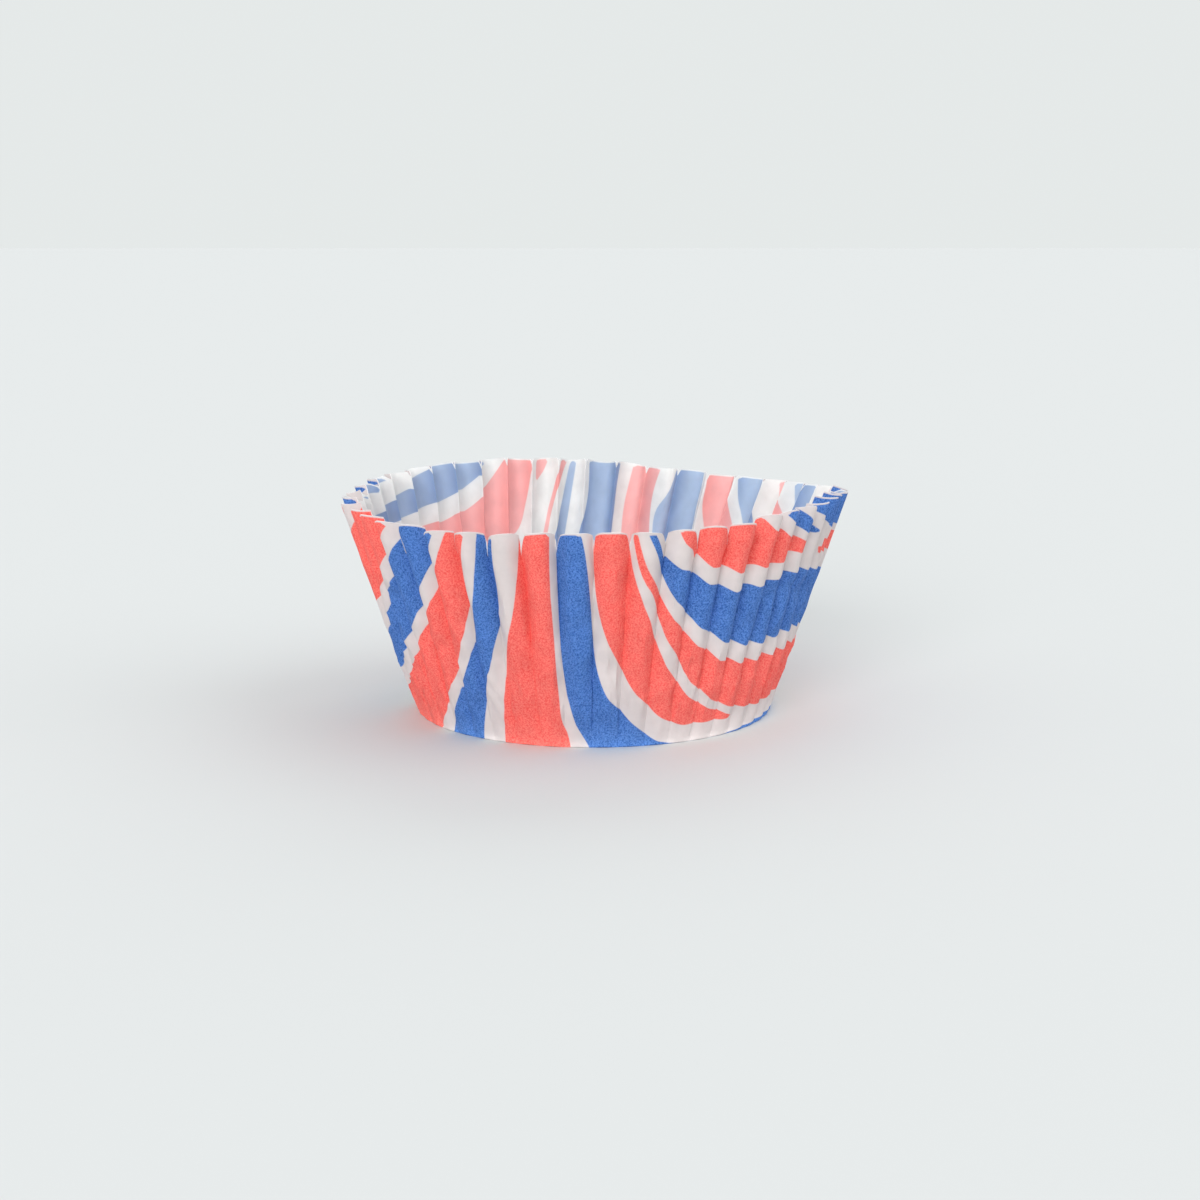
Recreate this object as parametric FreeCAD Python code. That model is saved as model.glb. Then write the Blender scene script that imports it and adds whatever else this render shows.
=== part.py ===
import FreeCAD, Part
import math
import os

# A pressed paper baking liner: one flat disc of paper, pleated into a flared cup with a flat base.
# Millimetres, +Z up, origin at the middle of the base's underside, -Y towards the front.

document = FreeCAD.newDocument("CupcakeLiner")

# Driving dimensions
sheet = document.addObject("Spreadsheet::Sheet", "Dimensions")
driving_dimensions = [
    ("base_diameter", 50.0),        # over the turned corner, where the pleats begin
    ("corner_size", 0.5),           # height and width of the turned corner
    ("cup_height", 30.1),           # to the rim's crests, where the mouth has its mean radius
    ("mouth_radius", 35.5),         # mean radius of the mouth, over the crests
    ("mouth_oval", 3.1),            # how far the mouth is drawn out along its long way
    ("mouth_egg", 1.3),             # how much more pointed one end of the mouth is
    ("mouth_square", 0.4),          # how far the mouth's long sides are drawn flat
    ("mouth_turn", 48.0),           # degrees from +X to the mouth's pointed end
    ("mouth_shift_x", 1.6),         # middle of the mouth, off the middle of the base
    ("mouth_shift_y", 0.1),
    ("pleat_count", 46.0),
    ("pleat_turn", -0.5),           # degrees from the front to the first inward fold
    ("corner_pleat_depth", 0.3),    # crest to inward fold, at the turned corner
    ("rim_pleat_depth", 2.6),       # crest to inward fold, at the rim
    ("rim_notch", 1.1),             # how far the rim dips at each inward fold
    ("paper_thickness", 0.1),
    ("facets_per_lobe", 6.0),
]
for row, (alias, value) in enumerate(driving_dimensions, start=1):
    sheet.set(f"A{row}", alias)
    sheet.set(f"B{row}", str(value))
    sheet.setAlias(f"B{row}", alias)
document.recompute()


def size(alias):
    return float(sheet.get(alias))


base_radius = size("base_diameter") / 2
corner_size = size("corner_size")
mouth_radius = size("mouth_radius")
paper_thickness = size("paper_thickness")
pleat_count = round(size("pleat_count"))
pleat_step = 2 * math.pi / pleat_count
facets_per_lobe = round(size("facets_per_lobe"))
first_fold = math.radians(size("pleat_turn") - 90)


def mouth_place(paper_angle):
    """Angle and radius round the base's axis at which the paper leaving the base at an angle ends in the rim.
    The mouth is an egg shape. The drift keeps the pleats evenly spaced along it."""
    oval = size("mouth_oval")
    egg = size("mouth_egg")
    turn = math.radians(size("mouth_turn"))
    drift = oval / (2 * mouth_radius) * math.sin(2 * (paper_angle - turn))
    drift += egg / (3 * mouth_radius) * math.sin(3 * (paper_angle - turn))
    angle = paper_angle - drift
    radius = mouth_radius + oval * math.cos(2 * (angle - turn)) + egg * math.cos(3 * (angle - turn))
    radius += size("mouth_square") * math.cos(4 * (angle - turn))
    x = size("mouth_shift_x") + radius * math.cos(angle)
    y = size("mouth_shift_y") + radius * math.sin(angle)
    return math.atan2(y, x), math.hypot(x, y)


def wall_profile(paper_angle, corner_depth, rim_depth, notch):
    """Radii and heights of the outside from base to rim along one crest or one fold, and the rim's angle.
    The paper is equally long all round, so the rim is lower where the wall leans out further."""
    rim_angle, reach = mouth_place(paper_angle)
    lean = (mouth_radius - base_radius) / (size("cup_height") - corner_size)
    rim_height = size("cup_height") - lean * (reach - mouth_radius)
    points = [
        (base_radius - corner_size, 0.0),
        (base_radius - corner_depth, corner_size),
        (reach - rim_depth, rim_height - notch),
    ]
    return points, rim_angle


def inner_profile(points, thickness):
    """The profile's other face: each point moved along the middle of its neighbours' inward normals."""
    directions = [(1.0, 0.0)]
    for (low_radius, low_height), (high_radius, high_height) in zip(points, points[1:]):
        length = math.hypot(high_radius - low_radius, high_height - low_height)
        directions.append(((high_radius - low_radius) / length, (high_height - low_height) / length))
    directions.append(directions[-1])
    inner = []
    for (radius, height), step, before, after in zip(points, thickness, directions, directions[1:]):
        share = step / (1 + before[0] * after[0] + before[1] * after[1])
        inner.append((radius - share * (before[1] + after[1]), height + share * (before[0] + after[0])))
    return inner


def fold_thickness(radius, depth):
    """Paper at an inward fold, measured towards the axis. The two lobes meet there at a slant."""
    pitch = radius * pleat_step
    return paper_thickness * math.hypot(1, 4 * depth / pitch)


def place(points, rim_angle, paper_angle):
    angles = [paper_angle, paper_angle, rim_angle]
    return [
        FreeCAD.Vector(radius * math.cos(angle), radius * math.sin(angle), height)
        for (radius, height), angle in zip(points, angles)
    ]


def crest_lines(paper_angle):
    points, rim_angle = wall_profile(paper_angle, 0.0, 0.0, 0.0)
    inner = inner_profile(points, [paper_thickness] * len(points))
    return place(points, rim_angle, paper_angle), place(inner, rim_angle, paper_angle)


def fold_lines(paper_angle):
    corner_depth = size("corner_pleat_depth")
    rim_depth = size("rim_pleat_depth")
    points, rim_angle = wall_profile(paper_angle, corner_depth, rim_depth, size("rim_notch"))
    thickness = [
        paper_thickness,
        fold_thickness(base_radius, corner_depth),
        fold_thickness(mouth_radius, rim_depth),
    ]
    inner = inner_profile(points, thickness)
    return place(points, rim_angle, paper_angle), place(inner, rim_angle, paper_angle)


def lobe_points(fold, crest, next_fold):
    """One outward lobe of a ring: points along the parabola from fold to fold, over the crest.
    The last point is left to the next lobe."""
    curve = Part.BezierCurve()
    curve.setPoles([fold, crest * 2 - (fold + next_fold) / 2, next_fold])
    share = 1 / facets_per_lobe
    return [curve.value(k * share) for k in range(facets_per_lobe)]


def lobe_rings(folds, crests):
    """For each level, base to rim, the points of the closed ring of lobes."""
    rings = []
    for level in range(len(folds[0])):
        points = []
        for i in range(pleat_count):
            next_fold = folds[(i + 1) % pleat_count][level]
            points += lobe_points(folds[i][level], crests[i][level], next_fold)
        rings.append(points)
    return rings


def flat_face(points):
    return Part.Face(Part.makePolygon(points + points[:1]))


def strip_faces(low_ring, high_ring):
    """Flat triangles between two rings. Their diagonals mirror each other about every crest."""
    strip = []
    for i in range(len(low_ring)):
        following = (i + 1) % len(low_ring)
        low, next_low = low_ring[i], low_ring[following]
        high, next_high = high_ring[i], high_ring[following]
        if i % facets_per_lobe < facets_per_lobe / 2:
            strip += [flat_face([low, next_low, high]), flat_face([next_low, next_high, high])]
        else:
            strip += [flat_face([low, next_low, next_high]), flat_face([low, next_high, high])]
    return strip


fold_pairs = [fold_lines(first_fold + i * pleat_step) for i in range(pleat_count)]
crest_pairs = [crest_lines(first_fold + (i + 0.5) * pleat_step) for i in range(pleat_count)]
outer_rings = lobe_rings([pair[0] for pair in fold_pairs], [pair[0] for pair in crest_pairs])
inner_rings = lobe_rings([pair[1] for pair in fold_pairs], [pair[1] for pair in crest_pairs])

faces = []
for rings in (outer_rings, inner_rings):
    faces.append(flat_face(rings[0]))
    for low_ring, high_ring in zip(rings, rings[1:]):
        faces += strip_faces(low_ring, high_ring)
faces += strip_faces(outer_rings[-1], inner_rings[-1])

shell = Part.makeShell(faces)
shell.sewShape()
solid = Part.makeSolid(shell)
if solid.Volume < 0:
    solid.reverse()

liner = document.addObject("Part::Feature", "PaperLiner")
liner.Label = "paper_liner"
liner.Shape = solid
liner.Placement = FreeCAD.Placement()
document.recompute()

sub_parts = [liner]
for item in document.Objects:
    if {"Invalid", "Error"} & set(item.State):
        raise RuntimeError(f"{item.Label} did not compute: {item.State}")
for item in sub_parts:
    if item.Shape.isNull() or not item.Shape.isValid() or item.Shape.Volume <= 0:
        raise RuntimeError(f"{item.Label} is not a sound solid")

os.makedirs("parts", exist_ok=True)
for item in sub_parts:
    item.Shape.exportStep(f"parts/{item.Label}.step")
    box = item.Shape.BoundBox
    print(item.Label, "solids", len(item.Shape.Solids), "faces", len(item.Shape.Faces))
    print("box", [round(value, 3) for value in (box.XMin, box.YMin, box.ZMin, box.XMax, box.YMax, box.ZMax)])
    print("volume", round(item.Shape.Volume, 2), "area", round(item.Shape.Area, 1))
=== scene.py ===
import math

import bpy
import numpy as np
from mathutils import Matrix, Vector, noise


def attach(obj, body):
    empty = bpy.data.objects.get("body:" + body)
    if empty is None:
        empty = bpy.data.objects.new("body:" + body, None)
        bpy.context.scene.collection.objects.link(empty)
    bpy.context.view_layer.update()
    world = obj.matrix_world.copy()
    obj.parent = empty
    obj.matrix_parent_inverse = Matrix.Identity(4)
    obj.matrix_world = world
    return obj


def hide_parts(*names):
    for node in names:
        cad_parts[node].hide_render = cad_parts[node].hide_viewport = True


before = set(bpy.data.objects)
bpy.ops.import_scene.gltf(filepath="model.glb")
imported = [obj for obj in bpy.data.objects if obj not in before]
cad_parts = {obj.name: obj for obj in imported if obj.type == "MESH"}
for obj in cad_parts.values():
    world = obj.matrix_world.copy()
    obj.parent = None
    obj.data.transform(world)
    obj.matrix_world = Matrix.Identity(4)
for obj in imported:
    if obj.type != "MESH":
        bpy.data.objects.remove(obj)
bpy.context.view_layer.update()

mm = 0.001
tiny = 1e-6

# The paper cup, in millimetres. Turn counts pleats round the cup, up runs from 0 at the corner to 1 at the rim.
# A value named Ramp gives where an effect starts and where it is full.
cup = {
    # the flat sheet
    "baseRadius": 25.0,
    "wallLength": 32.0,
    "paper": 0.1,
    "pleats": 46,
    "pleatTurn": -0.5,
    "columns": 16,
    "columnGather": 0.09,
    "rings": 48,
    "cornerRings": 3,
    "baseRings": 12,
    "turnSlack": 1e-4,
    # the pressed form
    "cornerSize": 0.3,
    "cupHeight": 30.1,
    "mouthRadius": 35.5,
    "mouthOval": 3.1,
    "mouthEgg": 1.3,
    "mouthSquare": 0.4,
    "mouthTurn": 48.0,
    "mouthShift": (1.6, 0.1),
    "cornerPleat": 0.3,
    "rimPleat": 2.6,
    "lobePower": 2.4,
    "lobePowerLow": 1.7,
    "lobeSteps": 60,
    "levelTopPower": 5,
    # the folds' ends at the rim
    "backRamp": (-15.0, 15.0),
    "foldRiseBack": 0.4,
    "foldDropFront": 0.6,
    "foldRiseTips": 0.8,
    "tipsRampX": (25.0, 33.0),
    "tipsRampY": (14.0, 4.0),
    # slits, and the shoulders that slope down into them
    "slitSpread": 0.16,
    "slitDepth": 1.35,
    "slitDepthBack": 0.45,
    "slitDepthAside": 0.5,
    "slitWidth": 0.45,
    "slitReach": 4.0,
    "shoulderWidth": 3.4,
    "shoulderPower": 0.8,
    "shoulderDrop": 1.0,
    "shoulderReach": 8.0,
    "shoulderAsideRamp": (0.0, 0.5),
    "shoulderAcrossRamp": (-0.4, 1.0),
    # uneven folds: shares for out, up and round
    "seed": 7,
    "wander": 0.16,
    "foldWander": (0.7, 0.8, 1.0),
    "crestWander": (1.2, 0.8, 0.6),
    # crumples: soft waves by turn, up and lobe, finer ones on them, and creases
    "crumple": 0.1,
    "waves": (2.6, 7.0, 3.1),
    "fineWaves": 2.3,
    "fineShare": 0.5,
    "crease": 1.3,
    "creaseWidth": 0.28,
    "creaseTurns": 2.1,
    "creaseUps": 4.2,
    "creaseSlant": 1.3,
    "creaseLayer": 8.0,
    "crumpleStart": 0.2,
    "crumpleFade": 1.25,
    # dents: turn, up and depth
    "dentHalfTurn": 0.34,
    "dentHalfUp": 0.085,
    "dents": [(6.4, 0.62, 0.9), (7.4, 0.63, 0.9), (8.45, 0.6, 0.9), (9.3, 0.58, 1.0),
              (5.4, 0.5, 0.7), (7.4, 0.42, 0.6), (-5.4, 0.42, 0.6), (-0.4, 0.55, 0.5),
              (0.6, 0.36, 0.5), (-2.6, 0.3, 0.6), (3.4, 0.35, 0.5), (-7.4, 0.62, 0.7)],
    # how the print lies on the pleats
    "printRise": 0.95,
    "printMiddle": 0.35,
    "printPower": 1.5,
    "printHold": 0.6,
    "printRamp": (0, 1 / 3),
    "inkReach": 3.0,
    "curveSteps": 6,
    "cutLine": 0.2,
    "slitLine": 0.3,
    "slitLineLength": 0.9,
    "nearFoldPower": 3,
    "nearFoldRamp": (0, 0.5),
    "offFloorRamp": (0, 0.1),
}
sheetRadius = cup["baseRadius"] + cup["wallLength"]
pleatStep = 2 * math.pi / cup["pleats"]
firstFold = math.radians(cup["pleatTurn"] - 90)

# The print, in millimetres on the flat sheet: each stripe's ink, one edge and the other.
stripes = [
    ("red", [(-54.6, -21), (-52.8, -17.6), (-51, -13), (-49.9, -5), (-48.6, 5), (-46, 15), (-42.2, 24),
             (-37, 31.8), (-33.2, 37.8), (-30.6, 43.6), (-28.8, 51)],
            [(-43, -40), (-43.2, -32), (-42.6, -26), (-42.1, -20), (-41.3, -14), (-41, -4), (-40.4, 8),
             (-37.2, 19), (-31.5, 29), (-25, 36), (-20.8, 41), (-20.8, 46), (-22.2, 54)]),
    ("red", [(-58.4, -9.4), (-54.6, -10.4), (-51.8, -8)], [(-57.4, -15.6), (-53.4, -14.2), (-51.8, -8)]),
    ("blue", [(-40.4, -42), (-40.7, -35), (-40.1, -28), (-39.4, -21), (-38.2, -15.5), (-36.8, -11), (-35.5, -3),
              (-35.2, 8), (-33, 18), (-28.5, 28), (-21, 36), (-14.5, 41)],
             [(-32.7, -47.5), (-32.9, -42), (-33.2, -37), (-32.9, -31), (-32.6, -25), (-32.9, -20), (-32.4, -14.5),
              (-31.3, -9), (-29.5, 0), (-28, 11), (-24, 21), (-18.5, 30), (-13.5, 36)]),
    ("red", [(-31.3, -49), (-30.9, -43), (-30.7, -37), (-30.8, -31), (-30.5, -25), (-30.2, -19.5), (-29.5, -14),
             (-28.4, -8), (-25, 1), (-22, 11), (-18.5, 20), (-15.5, 30), (-14.6, 40), (-14.9, 48), (-13.4, 57)],
            [(-26.3, -51), (-25.5, -45), (-24.3, -40), (-23.3, -35), (-22.8, -30.5), (-22.4, -26), (-22.2, -22),
             (-21.2, -18), (-20.2, -13), (-17.2, -3), (-16.5, 7), (-15.5, 18), (-14.4, 30), (-13.7, 40),
             (-13.9, 48), (-11.4, 58)]),
    ("blue", [(-24.8, -52.5), (-23.5, -47), (-22.2, -41), (-21.2, -35), (-20.9, -29), (-20.6, -23.5),
              (-19.6, -18.8), (-18.3, -15.5), (-14, -6), (-12.8, 5), (-12.6, 18), (-12.2, 31), (-11.9, 43),
              (-11.6, 50), (-11.3, 58)],
             [(-20.6, -53), (-19.9, -49), (-18.3, -44), (-17.5, -39.5), (-17.2, -34), (-16.9, -29), (-16, -25),
              (-14.7, -21), (-12.4, -16), (-9.2, -6), (-8.7, 5), (-8.6, 18), (-9, 31), (-9.5, 43), (-9.9, 50),
              (-10.3, 58)]),
    ("red", [(-16.3, -56), (-15.5, -49), (-15.1, -43), (-14.9, -37), (-14.1, -31), (-12.7, -25.5), (-10.4, -19),
             (-6.5, -9), (-3, 3), (0, 16), (1.9, 30), (2.9, 43), (3.1, 50), (4.6, 58)],
            [(-10.1, -57.5), (-9.2, -50), (-7.6, -42), (-5.8, -33.5), (-4.5, -28.2), (-3.3, -25.8),
             (-1.4, -18), (1.8, -8), (5, 4), (7.6, 17), (8.8, 30), (8.8, 43), (9.4, 51), (11.8, 58)]),
    ("blue", [(-8.7, -58), (-7.6, -50), (-6.4, -42), (-4.8, -35), (-2.9, -29.2), (-0.6, -24.8), (3.4, -16),
              (7.4, -6), (9.8, 6), (10.6, 18), (10.2, 31), (9.4, 43), (10.1, 49.2), (13.2, 52.5), (16.5, 57)],
             [(-3.9, -58), (-2.6, -53.5), (-1.3, -47.5), (-0.5, -42), (0.3, -37.4), (2.1, -32.6), (4.6, -29.2),
              (7.6, -24.9), (9.3, -23.2), (14.3, -20.2), (19.3, -15.9), (22.9, -10.9), (24.9, -5.2), (25.2, 3),
              (22.4, 12), (18.6, 21), (17.4, 31), (17.6, 40), (18.6, 46), (19.9, 50.4), (21.4, 56)]),
    ("blue", [(-5.2, 22), (-7.2, 33), (-6.9, 42), (-5.8, 47), (-5.5, 52), (-6.8, 59)],
             [(-4.4, 22), (-1.8, 33), (0.4, 42), (0.9, 48), (1.1, 53), (1.9, 59)]),
    ("red", [(-0.9, -58), (-0.3, -51), (1, -45), (3.8, -37.6), (6.7, -32.2), (9.4, -27.8), (12, -24.9),
             (15.6, -22.6), (18, -20.5), (20.4, -18)],
            [(7, -58), (7.3, -52.5), (8.7, -47.2), (9.9, -42.4), (10.9, -38.6), (12.5, -33.7), (13.8, -30),
             (15.6, -26.4), (18.1, -22.4), (20.4, -18)]),
    ("red", [(7.6, -57.5), (8.9, -51), (10.8, -46), (12.4, -40.2), (14.1, -35.4), (15.5, -30.5), (17.3, -26.4),
             (19.3, -22.4), (21.8, -18.4), (24.2, -14.3), (26.7, -10), (28.6, -5.5), (30.2, 3), (31.5, 13),
             (33.2, 24), (35, 31.5), (37, 38), (39.6, 45)],
            [(8.6, -57.5), (10.3, -50.5), (12.7, -45.3), (15, -40.6), (17, -37), (19.3, -33.5), (21.6, -29.8),
             (24.6, -26), (27.6, -22.4), (30.3, -18.8), (32.5, -14.8), (34.3, -10.7), (35.2, -6), (35.8, 3),
             (36.8, 14), (38.2, 26), (39.2, 34), (39.6, 38.6), (41.4, 44)]),
    ("blue", [(10.3, -57.5), (11.9, -52.4), (13.9, -47.2), (16.1, -42.8), (18.3, -39.2), (21, -35.2), (23.8, -31.2),
              (26.8, -27.4), (29.6, -23.9), (32.3, -20.4), (34.6, -16.6), (36.6, -11.4), (37.6, -6), (38, 3),
              (38.6, 13), (39.8, 24), (41, 32), (43.2, 37.2), (45.4, 41)],
             [(11, -58), (12.5, -54), (14.4, -51), (16.8, -48.8), (19.4, -46.6), (21.8, -43.9), (24.6, -41.2),
              (27.2, -38.6), (30, -36.4), (32.6, -33.8), (35.6, -31), (38.4, -28), (41, -24.4), (43, -20.2),
              (44.6, -14.6), (45.6, -8), (46, 2), (46.2, 12), (46.6, 22), (48, 31.6), (50.6, 36)]),
    ("red", [(16.7, -56.5), (18.2, -52), (20.6, -49.2), (23.2, -45.8), (26.4, -43.3), (29.2, -40.4), (32.4, -38),
             (34.6, -35.5), (37.4, -32.6), (41.6, -28.6), (44, -24.8)],
            [(32, -50), (35.8, -44.4), (37.4, -40.4), (40.2, -37), (41.4, -33.6), (43.4, -29.8), (45.4, -25.6)]),
    ("red", [(47, -14.6), (47.9, -10.2), (48.6, -3.5), (48.8, 4), (49.4, 11), (50.6, 18), (53.4, 26)],
            [(47.8, -14.9), (49.3, -10.6), (51, -4.2), (51.9, 3), (52.4, 10), (53.4, 17), (56, 24)]),
    ("blue", [(40.4, -42), (41.8, -38.6), (43.7, -33), (45.6, -27.8), (46.9, -24.2), (48.6, -21)],
             [(44.6, -39), (45.8, -34), (47.3, -28.6), (48.2, -24.4), (48.6, -21)]),
    ("blue", [(46.8, -34.6), (48.2, -30.6), (50, -24.8), (51.1, -19.5), (51.4, -14.5), (51.9, -8.3), (52.4, -2),
              (53.8, 5), (58.5, 13)],
             [(52, -36), (57, -26), (60, -14), (62, 0), (61, 10)]),
    ("red", [(19.5, 16), (19.4, 24), (20.2, 33), (21, 41.4), (21.3, 46.6), (22.7, 50.6), (24, 55)],
            [(19.5, 16), (22.5, 22), (25.2, 31), (27, 39), (27.8, 46), (29.8, 51)]),
    ("blue", [(25.5, 16), (26.4, 24), (27.8, 32), (28.8, 39.6), (29.4, 45), (31.6, 51)],
             [(25.5, 16), (29, 22), (31.2, 31), (32.2, 38), (33.2, 42.6), (35, 48)]),
    ("red", [(-20.9, 56), (-20, 52.4), (-19.2, 50)], [(-17.4, 56), (-17.9, 52.6), (-18.9, 50)]),
    ("blue", [(-36, 46.5), (-42.2, 39.6), (-46.6, 31.4), (-48.6, 24), (-50.2, 17), (-51.4, 9), (-52.6, 1),
              (-54.4, -6), (-59, -7.6)],
             [(-30.2, 51), (-33.6, 44), (-37, 37.4), (-40.4, 32), (-42.9, 28), (-45.6, 22), (-47.6, 15),
              (-49.6, 6), (-51.4, -3), (-53.6, -9.4), (-58.5, -10.9)]),
    ("blue", [(-50, 30.5), (-51.6, 25), (-53.2, 18.6), (-54.4, 12), (-55.6, 5), (-59, -1)],
             [(-51.6, 27.6), (-54.6, 20), (-57.4, 12), (-60, 2)]),
]

# each ink's second colour is its dark grain outside, and painted shade along the folds inside
look = {
    "outside": {
        "white": (0.755, 0.69, 0.68),
        "red": (1.0, 0.26, 0.215), "redGrainAndFoldShade": (0.9, 0.11, 0.095),
        "blue": (0.13, 0.295, 0.71), "blueGrainAndFoldShade": (0.03, 0.12, 0.40),
        "through": 0.36,
    },
    "inside": {
        "white": (0.93, 0.965, 0.95),
        "red": (0.955, 0.66, 0.65), "redGrainAndFoldShade": (0.96, 0.52, 0.50),
        "blue": (0.57, 0.70, 0.83), "blueGrainAndFoldShade": (0.32, 0.46, 0.70),
        "through": 0.42,
    },
    "edge": {
        "white": (0.97, 0.96, 0.96),
        "red": (0.97, 0.96, 0.96), "redGrainAndFoldShade": (0.97, 0.96, 0.96),
        "blue": (0.97, 0.96, 0.96), "blueGrainAndFoldShade": (0.97, 0.96, 0.96),
        "through": 0.36,
    },
    "roughness": 0.72,
    "refraction": 1.45,
    "gloss": 0.3,
    "inkEdge": (-0.07, 0.07),
    "grainScale": 4600,
    "grainDetail": 3,
    "grainRoughness": 0.75,
    "grainRamp": (0.58, 0.38),
    "foldShadeRamp": (0.1, 1.0),
    "cloudScale": 420,
    "cloudDetail": 3,
    "cloudRamp": (0.3, 0.7),
    "cloudTone": (0.91, 1.0),
    "fibreScale": 1400,
    "fibreDetail": 2,
    "fibreStrength": 0.25,
    "fibreHeight": 0.00004,
    "smoothBelow": 40,
}


def ramp(value, start, end):
    return np.clip((value - start) / (end - start), 0, 1)


def flatSheet():
    bpy.ops.object.select_all(action="DESELECT")
    bpy.ops.mesh.primitive_circle_add(
        vertices=cup["pleats"] * cup["columns"], radius=sheetRadius * mm, fill_type="NOTHING",
        rotation=(0, 0, math.radians(cup["pleatTurn"])))
    sheet = bpy.context.object
    sheet.name = "paperCup"
    bpy.ops.object.transform_apply(location=False, rotation=True, scale=False)
    corner = cup["baseRadius"] - cup["cornerSize"]
    radii = list(np.linspace(sheetRadius, cup["baseRadius"], cup["rings"] + 1)[1:])
    radii += list(np.linspace(cup["baseRadius"], corner, cup["cornerRings"] + 1)[1:])
    radii += list(np.linspace(corner, 0, cup["baseRings"] + 1)[1:-1])
    bpy.ops.object.mode_set(mode="EDIT")
    bpy.ops.mesh.select_all(action="SELECT")
    last = sheetRadius
    for radius in radii:
        share = radius / last
        bpy.ops.mesh.extrude_edges_move()
        bpy.ops.transform.resize(value=(share, share, 1))
        last = radius
    bpy.ops.mesh.extrude_edges_move()
    bpy.ops.mesh.merge(type="CENTER")
    bpy.ops.mesh.select_all(action="SELECT")
    bpy.ops.mesh.normals_make_consistent(inside=False)
    bpy.ops.object.mode_set(mode="OBJECT")
    if sheet.data.polygons[0].normal.z > 0:  # the printed side lies downwards
        bpy.ops.object.mode_set(mode="EDIT")
        bpy.ops.mesh.flip_normals()
        bpy.ops.object.mode_set(mode="OBJECT")
    return sheet


def powerAt(up):
    # the lobes are broad tongues at the rim and narrower waves low down
    return cup["lobePowerLow"] + (cup["lobePower"] - cup["lobePowerLow"]) * up


def shareAcross(share, up):
    # where paper at this share of a lobe comes to lie between its two folds
    x = np.linspace(0, 1, cup["lobeSteps"])
    result = np.zeros(len(share))
    for level in np.unique(up):
        row = up == level
        half = (cup["baseRadius"] + (cup["mouthRadius"] - cup["baseRadius"]) * level) * pleatStep / 2
        depth = cup["cornerPleat"] + (cup["rimPleat"] - cup["cornerPleat"]) * level
        height = depth * (1 - x ** powerAt(level))
        run = np.concatenate([[0], np.cumsum(np.hypot(np.diff(x) * half, np.diff(height)))])
        result[row] = np.sign(share[row]) * np.interp(np.abs(share[row]), run / run[-1], x)
    return result


def sheetGrid(sheet):
    # where each point of the flat sheet lies, among the pleats and up the wall
    flat = np.empty(len(sheet.data.vertices) * 3)
    sheet.data.vertices.foreach_get("co", flat)
    flat = flat.reshape(-1, 3)[:, :2] / mm
    radius = np.hypot(flat[:, 0], flat[:, 1])
    slack = cup["turnSlack"]
    turn = ((np.arctan2(flat[:, 1], flat[:, 0]) - firstFold) / pleatStep + slack) % cup["pleats"]
    turn = np.maximum(turn - slack, 0)
    turn = turn - cup["columnGather"] * np.sin(2 * math.pi * turn)  # more columns near the folds
    whole = np.floor(turn + slack / 10)
    nearest = np.round(turn)
    angle = firstFold + turn * pleatStep
    up = np.round(np.clip((radius - cup["baseRadius"]) / cup["wallLength"], 0, 1), 5)
    across = shareAcross(np.clip(2 * (turn - whole) - 1, -1, 1), up)
    east = np.cos(angle)
    return {
        "flat": np.stack([radius * np.cos(angle), radius * np.sin(angle)], -1),
        "radius": radius,
        "belowRim": sheetRadius - radius,
        "up": up,
        "turn": turn,
        "whole": whole,
        "nearest": nearest.astype(int),
        "fromFold": (turn - nearest) * pleatStep * radius,
        "across": across,
        "east": east,
        "sideways": np.abs(east),
        "toAway": across * np.sign(east),  # over 0 on the flank that faces away from the front
    }


def smoothLine(points):
    # a Catmull-Rom curve through the points
    p = np.array(points, float)
    p = np.vstack([2 * p[0] - p[1], p, 2 * p[-1] - p[-2]])
    t = np.linspace(0, 1, cup["curveSteps"] + 1)[:-1, None]
    spans = []
    for a, b, c, d in zip(p, p[1:], p[2:], p[3:]):
        square = 2 * a - 5 * b + 4 * c - d
        cube = 3 * b - a - 3 * c + d
        spans.append(0.5 * (2 * b + (c - a) * t + square * t ** 2 + cube * t ** 3))
    return np.vstack(spans + [p[-2:-1]])


def insideBy(points, outline):
    # millimetres inside the outline, negative outside it
    x = points[:, 0]
    y = points[:, 1]
    nearest = np.full(len(points), np.inf)
    crossings = np.zeros(len(points), int)
    for (ax, ay), (bx, by) in zip(outline, np.roll(outline, -1, axis=0)):
        dx = bx - ax
        dy = by - ay
        if math.hypot(dx, dy) < tiny:
            continue
        t = np.clip(((x - ax) * dx + (y - ay) * dy) / (dx * dx + dy * dy), 0, 1)
        nearest = np.minimum(nearest, np.hypot(x - ax - t * dx, y - ay - t * dy))
        if ay != by:
            spanned = (ay > y) != (by > y)
            crossings += spanned & (x < ax + (y - ay) * dx / dy)
    return np.where(crossings % 2 == 1, nearest, -nearest)


def setAttribute(sheet, name, values):
    attribute = sheet.data.attributes.new(name, "FLOAT", "POINT")
    attribute.data.foreach_set("value", values.astype(np.float32))


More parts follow.
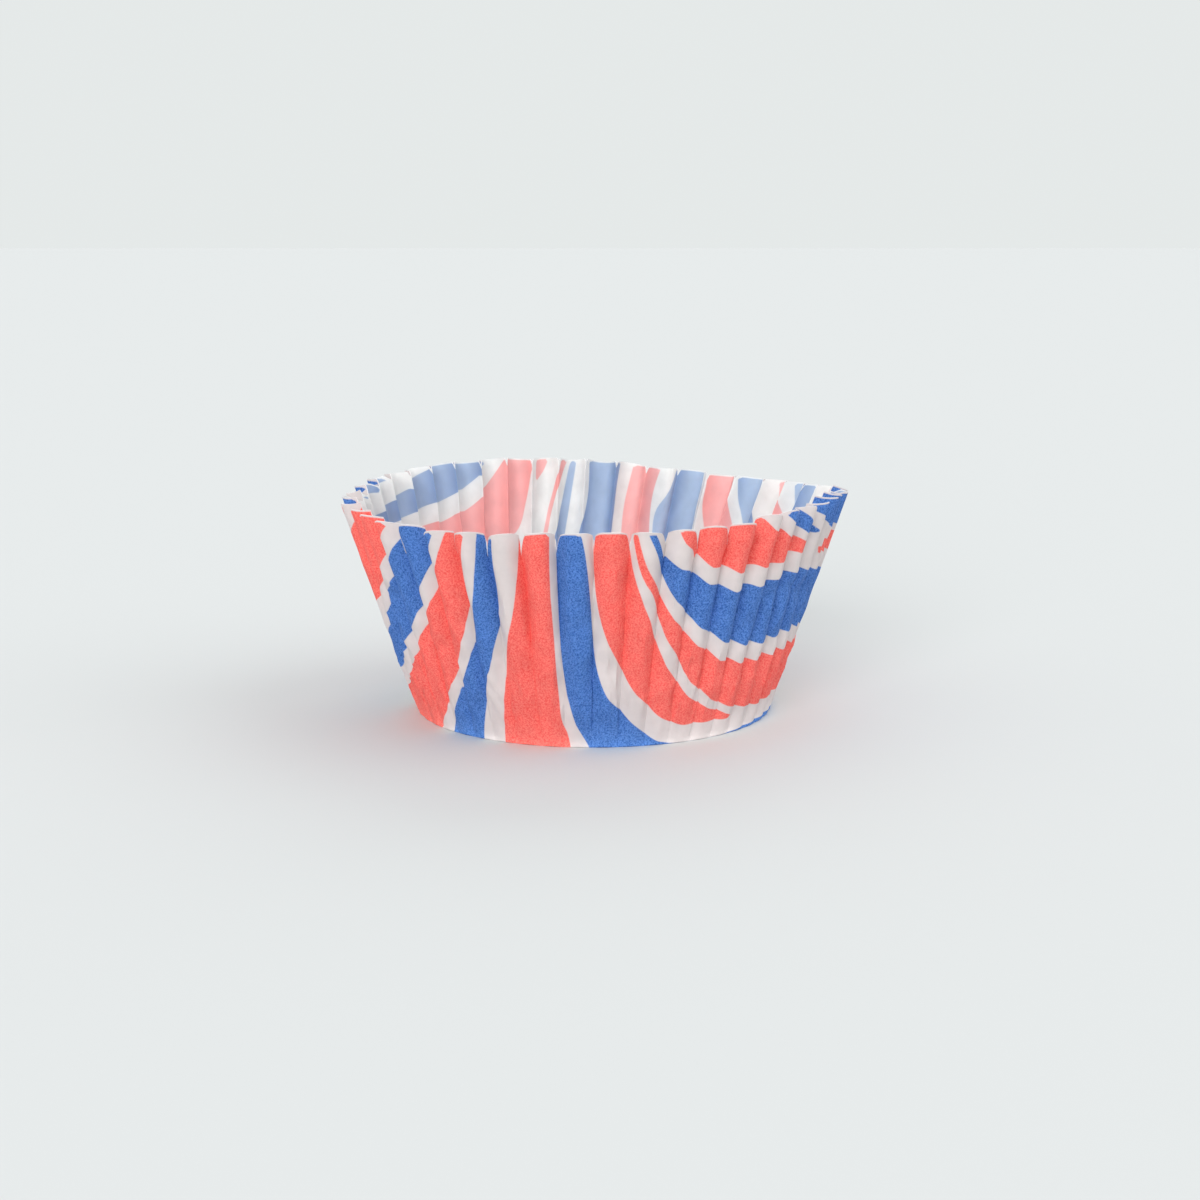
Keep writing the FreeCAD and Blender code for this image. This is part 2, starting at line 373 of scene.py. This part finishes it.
def printSheet(sheet, at):
    # the print rides a little higher in the folds than on the crests
    steep = np.abs(at["across"])
    riding = steep ** cup["printPower"] * np.where(at["toAway"] > 0, 1 - cup["printHold"] * at["sideways"], 1)
    lift = cup["printRise"] * (riding - cup["printMiddle"]) * ramp(at["up"], *cup["printRamp"])
    inkRadius = np.maximum(at["radius"] - lift, tiny) / np.maximum(at["radius"], tiny)
    place = at["flat"] * inkRadius[:, None]

    # the cut rim and the slits have a thin white line
    belowRim = at["belowRim"]
    reach = cup["inkReach"]
    fromSlit = np.abs(at["fromFold"]) - cup["slitLine"] * (1 - belowRim / cup["slitLineLength"])
    fromSlit = np.where(belowRim < cup["slitLineLength"], fromSlit, reach)
    fromCut = np.minimum(belowRim - cup["cutLine"], fromSlit)
    for ink in ("red", "blue"):
        field = np.full(len(place), -reach)
        for name, oneEdge, otherEdge in stripes:
            if name == ink:
                outline = np.vstack([smoothLine(oneEdge), smoothLine(otherEdge)[::-1]])
                field = np.maximum(field, insideBy(place, outline))
        setAttribute(sheet, ink + "Ink", np.clip(np.minimum(field, fromCut), -reach, reach))
    # nearFold sets where the inside inks get painted shade along the folds
    setAttribute(sheet, "nearFold", steep ** cup["nearFoldPower"] * ramp(at["up"], *cup["nearFoldRamp"]))
    setAttribute(sheet, "offFloor", ramp(at["up"], *cup["offFloorRamp"]))


def mouthPlace(angle):
    # the mouth is an egg, and the pleats keep their even pitch round it
    turned = angle - math.radians(cup["mouthTurn"])
    drift = cup["mouthOval"] / (2 * cup["mouthRadius"]) * np.sin(2 * turned)
    drift = drift + cup["mouthEgg"] / (3 * cup["mouthRadius"]) * np.sin(3 * turned)
    turned = turned - drift
    reach = cup["mouthRadius"] + cup["mouthOval"] * np.cos(2 * turned)
    reach = reach + cup["mouthEgg"] * np.cos(3 * turned) + cup["mouthSquare"] * np.cos(4 * turned)
    x = cup["mouthShift"][0] + reach * np.cos(angle - drift)
    y = cup["mouthShift"][1] + reach * np.sin(angle - drift)
    return x, y


def wallLine(angle, up, isFold, give):
    # a straight line up the wall, along a fold or along the crest of a lobe
    x, y = mouthPlace(angle)
    reach = np.hypot(x, y)
    heading = np.arctan2(y, x)
    lean = (cup["mouthRadius"] - cup["baseRadius"]) / (cup["cupHeight"] - cup["cornerSize"])
    z = cup["cupHeight"] - lean * (reach - cup["mouthRadius"]) + give[1]
    low = cup["baseRadius"]
    if isFold:
        backward = ramp(y, *cup["backRamp"])
        z = z + cup["foldRiseBack"] * backward - cup["foldDropFront"] * (1 - backward)
        z = z + cup["foldRiseTips"] * ramp(np.abs(x), *cup["tipsRampX"]) * ramp(y, *cup["tipsRampY"])
        reach = reach - cup["rimPleat"]
        low = low - cup["cornerPleat"]
    reach = reach + give[0]
    heading = heading + give[2] / cup["mouthRadius"]
    x = low * np.cos(angle) * (1 - up) + reach * np.cos(heading) * up
    y = low * np.sin(angle) * (1 - up) + reach * np.sin(heading) * up
    z = cup["cornerSize"] + (z - cup["cornerSize"]) * up
    return np.stack([x, y, z], -1)


def pressWall(at, dice):
    # each lobe bulges out between two folds, and each fold and crest strays a little from its even place
    pleats = cup["pleats"]
    up = at["up"]
    whole = at["whole"]
    foldGive = dice.normal(0, cup["wander"], (pleats, 3)) * cup["foldWander"]
    crestGive = dice.normal(0, cup["wander"], (pleats, 3)) * cup["crestWander"]
    k = whole.astype(int) % pleats
    foldHere = wallLine(firstFold + whole * pleatStep, up, True, foldGive[k].T)
    foldAfter = wallLine(firstFold + (whole + 1) * pleatStep, up, True, foldGive[(k + 1) % pleats].T)
    crestLine = wallLine(firstFold + (whole + 0.5) * pleatStep, up, False, crestGive[k].T)
    middle = (foldHere + foldAfter) / 2
    half = (foldAfter - foldHere) / 2
    fall = np.abs(at["across"]) ** powerAt(up)
    place = middle + half * at["across"][:, None] + (crestLine - middle) * (1 - fall)[:, None]
    levelTop = (crestLine - middle)[:, 2] * (fall - np.abs(at["across"]) ** cup["levelTopPower"])
    place[:, 2] += np.where(place[:, 1] < 0, levelTop * up, 0)  # tongues with level tops in front
    return place


def pressBase(at, place):
    # flat base, and a quarter turn up into the wall
    radius = at["radius"]
    corner = cup["baseRadius"] - cup["cornerSize"]
    turned = ramp(radius, corner, cup["baseRadius"])
    bend = turned * math.pi / 2
    foldIn = 1 - cup["cornerPleat"] / cup["baseRadius"] * np.abs(at["across"]) ** cup["lobePowerLow"] * turned
    pull = (corner + np.sin(bend) * cup["cornerSize"]) / np.maximum(radius, tiny) * foldIn
    pull = np.where(radius <= corner, 1, pull)
    inner = radius < cup["baseRadius"] - tiny
    place[inner, :2] = (at["flat"] * pull[:, None])[inner]
    place[inner, 2] = ((1 - np.cos(bend)) * cup["cornerSize"])[inner]


def cutSlits(at, place, dice):
    # a short slit at the top of each fold; the flank that faces away in front slopes down into it
    sideways = at["sideways"]
    fromFold = at["fromFold"] * -np.sign(at["east"])
    backward = ramp(place[:, 1], *cup["backRamp"])
    away = cup["slitWidth"] + cup["shoulderWidth"] * sideways ** cup["shoulderPower"] * (1 - backward)
    width = np.where(fromFold > 0, away, cup["slitWidth"])
    depth = dice.normal(1, cup["slitSpread"], cup["pleats"] + 1)[at["nearest"]]
    depth = depth * (cup["slitDepth"] + (cup["slitDepthBack"] - cup["slitDepth"]) * backward)
    depth = depth * (1 + cup["slitDepthAside"] * sideways)
    slit = depth * np.clip(1 - np.abs(fromFold) / width, 0, 1)
    place[:, 2] -= slit * ramp(at["belowRim"], cup["slitReach"], 0)
    shoulder = ramp(sideways, *cup["shoulderAsideRamp"]) * ramp(at["toAway"], *cup["shoulderAcrossRamp"]) ** 2
    shoulder = shoulder * (1 - backward)
    place[:, 2] -= cup["shoulderDrop"] * shoulder * ramp(at["belowRim"], cup["shoulderReach"], 0)


def crumpleWall(at, place):
    # soft waves, thin creases that run mostly up the lower wall, and dents
    out = place[:, :2] / np.maximum(np.hypot(place[:, 0], place[:, 1]), tiny)[:, None]
    byTurn, byUp, byLobe = cup["waves"]
    halfRound = cup["pleats"] / 2
    for i, (turn, up, whole) in enumerate(zip(at["turn"], at["up"], at["whole"])):
        if up == 0:
            continue
        p = Vector((turn * byTurn, up * byUp, whole * byLobe))
        soft = noise.noise(p) + cup["fineShare"] * noise.noise(p * cup["fineWaves"])
        p = Vector((turn * cup["creaseTurns"] + up * cup["creaseSlant"], up * cup["creaseUps"], cup["creaseLayer"]))
        crease = max(0, cup["creaseWidth"] - abs(noise.noise(p)))
        low = min(1, up / cup["crumpleStart"]) * (cup["crumpleFade"] - up)
        give = (cup["crumple"] * soft + cup["crease"] * crease) * low
        for dentTurn, dentUp, deepest in cup["dents"]:
            off = abs((turn - dentTurn + halfRound) % cup["pleats"] - halfRound) / cup["dentHalfTurn"]
            off += abs(up - dentUp) / cup["dentHalfUp"]
            give -= deepest * max(0, 1 - off)
        place[i, :2] += out[i] * give


def pressSheet(sheet):
    at = sheetGrid(sheet)
    printSheet(sheet, at)
    dice = np.random.RandomState(cup["seed"])
    place = pressWall(at, dice)
    pressBase(at, place)
    cutSlits(at, place, dice)
    crumpleWall(at, place)
    sheet.data.vertices.foreach_set("co", (place * mm).astype(np.float32).ravel())
    sheet.data.update()


def thicken(sheet):
    bpy.ops.object.select_all(action="DESELECT")
    sheet.select_set(True)
    bpy.context.view_layer.objects.active = sheet
    solidify = sheet.modifiers.new("paper", "SOLIDIFY")
    solidify.thickness = cup["paper"] * mm
    solidify.offset = -1
    solidify.use_even_offset = False
    solidify.material_offset = 1
    solidify.material_offset_rim = 2
    bpy.ops.object.modifier_apply(modifier="paper")
    bpy.ops.object.shade_smooth_by_angle(angle=math.radians(look["smoothBelow"]))


def setInputs(node, values):
    for name, value in values.items():
        node.inputs[name].default_value = value
    return node


def rampNode(nodes, fromRange, toRange=(0, 1)):
    node = nodes.new("ShaderNodeMapRange")
    return setInputs(node, {"From Min": fromRange[0], "From Max": fromRange[1],
                            "To Min": toRange[0], "To Max": toRange[1]})


def attributeNode(nodes, name):
    node = nodes.new("ShaderNodeAttribute")
    node.attribute_name = name
    return node


def colourMix(nodes):
    node = nodes.new("ShaderNodeMix")
    node.data_type = "RGBA"
    return node


def paperGrain():
    # speckles for the inks, soft clouds for the tone and fibres for the height
    group = bpy.data.node_groups.new("paperGrain", "ShaderNodeTree")
    group.interface.new_socket("Grain Scale", in_out="INPUT", socket_type="NodeSocketFloat")
    for name in ("Speckle", "Cloud", "Height"):
        group.interface.new_socket(name, in_out="OUTPUT", socket_type="NodeSocketFloat")
    into = group.nodes.new("NodeGroupInput")
    outOf = group.nodes.new("NodeGroupOutput")
    coords = group.nodes.new("ShaderNodeTexCoord")
    settings = {
        "Speckle": {"Detail": look["grainDetail"], "Roughness": look["grainRoughness"]},
        "Cloud": {"Scale": look["cloudScale"], "Detail": look["cloudDetail"]},
        "Height": {"Scale": look["fibreScale"], "Detail": look["fibreDetail"]},
    }
    for name, values in settings.items():
        texture = setInputs(group.nodes.new("ShaderNodeTexNoise"), values)
        group.links.new(coords.outputs["Object"], texture.inputs["Vector"])
        group.links.new(texture.outputs["Fac"], outOf.inputs[name])
        if name == "Speckle":
            group.links.new(into.outputs["Grain Scale"], texture.inputs["Scale"])
    return group


def paperMaterial(name, grain, paper, isInside):
    material = bpy.data.materials.new(name)
    material.use_nodes = True
    nodes = material.node_tree.nodes
    links = material.node_tree.links
    nodes.clear()
    output = nodes.new("ShaderNodeOutputMaterial")
    shader = setInputs(nodes.new("ShaderNodeBsdfPrincipled"), {
        "Roughness": look["roughness"], "IOR": look["refraction"], "Specular IOR Level": look["gloss"]})
    shining = nodes.new("ShaderNodeBsdfTranslucent")
    both = nodes.new("ShaderNodeMixShader")
    raised = attributeNode(nodes, "offFloor")
    lit = nodes.new("ShaderNodeMath")  # no light comes through the base, which lies on the floor
    lit.operation = "MULTIPLY"
    lit.inputs[1].default_value = paper["through"]
    links.new(raised.outputs["Fac"], lit.inputs[0])
    links.new(lit.outputs["Value"], both.inputs["Fac"])
    links.new(shader.outputs["BSDF"], both.inputs[1])
    links.new(shining.outputs["BSDF"], both.inputs[2])
    links.new(both.outputs["Shader"], output.inputs["Surface"])
    texture = nodes.new("ShaderNodeGroup")
    texture.node_tree = grain
    texture.inputs["Grain Scale"].default_value = look["grainScale"]

    # outside the inks have darker grains; inside, a darker, deeper ink colour along the folds is painted shade
    if isInside:
        other = rampNode(nodes, look["foldShadeRamp"])
        links.new(attributeNode(nodes, "nearFold").outputs["Fac"], other.inputs["Value"])
    else:
        other = rampNode(nodes, look["grainRamp"])
        links.new(texture.outputs["Speckle"], other.inputs["Value"])

    colour = None
    for ink in ("red", "blue"):
        edge = rampNode(nodes, look["inkEdge"])
        edge.interpolation_type = "SMOOTHSTEP"
        links.new(attributeNode(nodes, ink + "Ink").outputs["Fac"], edge.inputs["Value"])
        inkMix = setInputs(colourMix(nodes), {"A": (*paper[ink], 1), "B": (*paper[ink + "GrainAndFoldShade"], 1)})
        links.new(other.outputs["Result"], inkMix.inputs["Factor"])
        mix = colourMix(nodes)
        links.new(inkMix.outputs["Result"], mix.inputs["B"])
        links.new(edge.outputs["Result"], mix.inputs["Factor"])
        if colour is None:
            mix.inputs["A"].default_value = (*paper["white"], 1)
        else:
            links.new(colour, mix.inputs["A"])
        colour = mix.outputs["Result"]

    cloud = rampNode(nodes, look["cloudRamp"], look["cloudTone"])
    links.new(texture.outputs["Cloud"], cloud.inputs["Value"])
    tone = nodes.new("ShaderNodeVectorMath")
    tone.operation = "SCALE"
    links.new(colour, tone.inputs[0])
    links.new(cloud.outputs["Result"], tone.inputs["Scale"])
    links.new(tone.outputs["Vector"], shader.inputs["Base Color"])
    links.new(tone.outputs["Vector"], shining.inputs["Color"])

    bump = setInputs(nodes.new("ShaderNodeBump"), {
        "Strength": look["fibreStrength"], "Distance": look["fibreHeight"]})
    links.new(texture.outputs["Height"], bump.inputs["Height"])
    links.new(bump.outputs["Normal"], shader.inputs["Normal"])
    return material


def paperCup():
    sheet = flatSheet()
    pressSheet(sheet)
    grain = paperGrain()
    sheet.data.materials.append(paperMaterial("printedPaper", grain, look["outside"], False))
    sheet.data.materials.append(paperMaterial("insidePaper", grain, look["inside"], True))
    sheet.data.materials.append(paperMaterial("cutEdge", grain, look["edge"], False))
    thicken(sheet)
    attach(sheet, "root")
    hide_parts("paper_liner")
    sheet.data.calc_loop_triangles()
    print("paper cup:", len(sheet.data.loop_triangles), "triangles")


studio = {
    "floorSize": 8.0,
    "floorColour": (0.629, 0.648, 0.643),
    "farColour": (0.785, 0.817, 0.812),
    "roomColour": (0.97, 0.985, 1.0),
    "roomStrength": 0.8,
    "keyFrom": (1.0, -0.2, 0.75),
    "keyStrength": 0.85,
    "keySoftness": 60,
    "fillFrom": (-0.28, -1.0, 0.36),
    "fillStrength": 2.0,
    "fillSoftness": 32,
    "backFrom": (0.25, 1.0, 0.55),
    "backStrength": 0.9,
    "backSoftness": 60,
    "sensorWidth": 36,
    "lens": 61.68,
    "clipStart": 0.01,
    "cameraPlace": (0.00024, -0.2842, 0.0682),
    "cameraPitch": 79.38,
    "cameraYaw": -0.13,
}


def floorPlane():
    bpy.ops.object.select_all(action="DESELECT")
    bpy.ops.mesh.primitive_plane_add(size=studio["floorSize"], location=(0, 0, 0))
    floor = bpy.context.object
    floor.name = "studioFloor"
    material = bpy.data.materials.new("paleFloor")
    material.use_nodes = True
    setInputs(material.node_tree.nodes["Principled BSDF"], {
        "Base Color": (*studio["floorColour"], 1), "Roughness": 1.0, "Specular IOR Level": 0.0})
    floor.data.materials.append(material)
    print("floor")


def softRoom():
    # the room lights evenly from all round, and the camera sees it as a pale wall
    world = bpy.data.worlds.new("softRoom")
    world.use_nodes = True
    nodes = world.node_tree.nodes
    links = world.node_tree.links
    room = setInputs(nodes["Background"], {
        "Color": (*studio["roomColour"], 1), "Strength": studio["roomStrength"]})
    wall = setInputs(nodes.new("ShaderNodeBackground"), {
        "Color": (*studio["farColour"], 1), "Strength": 1.0})
    path = nodes.new("ShaderNodeLightPath")
    both = nodes.new("ShaderNodeMixShader")
    links.new(path.outputs["Is Camera Ray"], both.inputs["Fac"])
    links.new(room.outputs["Background"], both.inputs[1])
    links.new(wall.outputs["Background"], both.inputs[2])
    links.new(both.outputs["Shader"], nodes["World Output"].inputs["Surface"])
    bpy.context.scene.world = world


def lightAndCamera():
    softRoom()
    for name in ("key", "fill", "back"):
        data = bpy.data.lights.new(name + "Light", "SUN")
        data.energy = studio[name + "Strength"]
        data.angle = math.radians(studio[name + "Softness"])
        light = bpy.data.objects.new(name + "Light", data)
        light.rotation_euler = Vector(studio[name + "From"]).to_track_quat("Z", "Y").to_euler()
        bpy.context.scene.collection.objects.link(light)

    data = bpy.data.cameras.new("photoCamera")
    data.sensor_width = studio["sensorWidth"]
    data.lens = studio["lens"]
    data.clip_start = studio["clipStart"]
    camera = bpy.data.objects.new("photoCamera", data)
    camera.location = studio["cameraPlace"]
    camera.rotation_euler = (math.radians(studio["cameraPitch"]), 0, math.radians(studio["cameraYaw"]))
    bpy.context.scene.collection.objects.link(camera)
    bpy.context.scene.camera = camera
    bpy.context.scene.view_settings.view_transform = "Standard"
    print("light and camera")


paperCup()
floorPlane()
lightAndCamera()
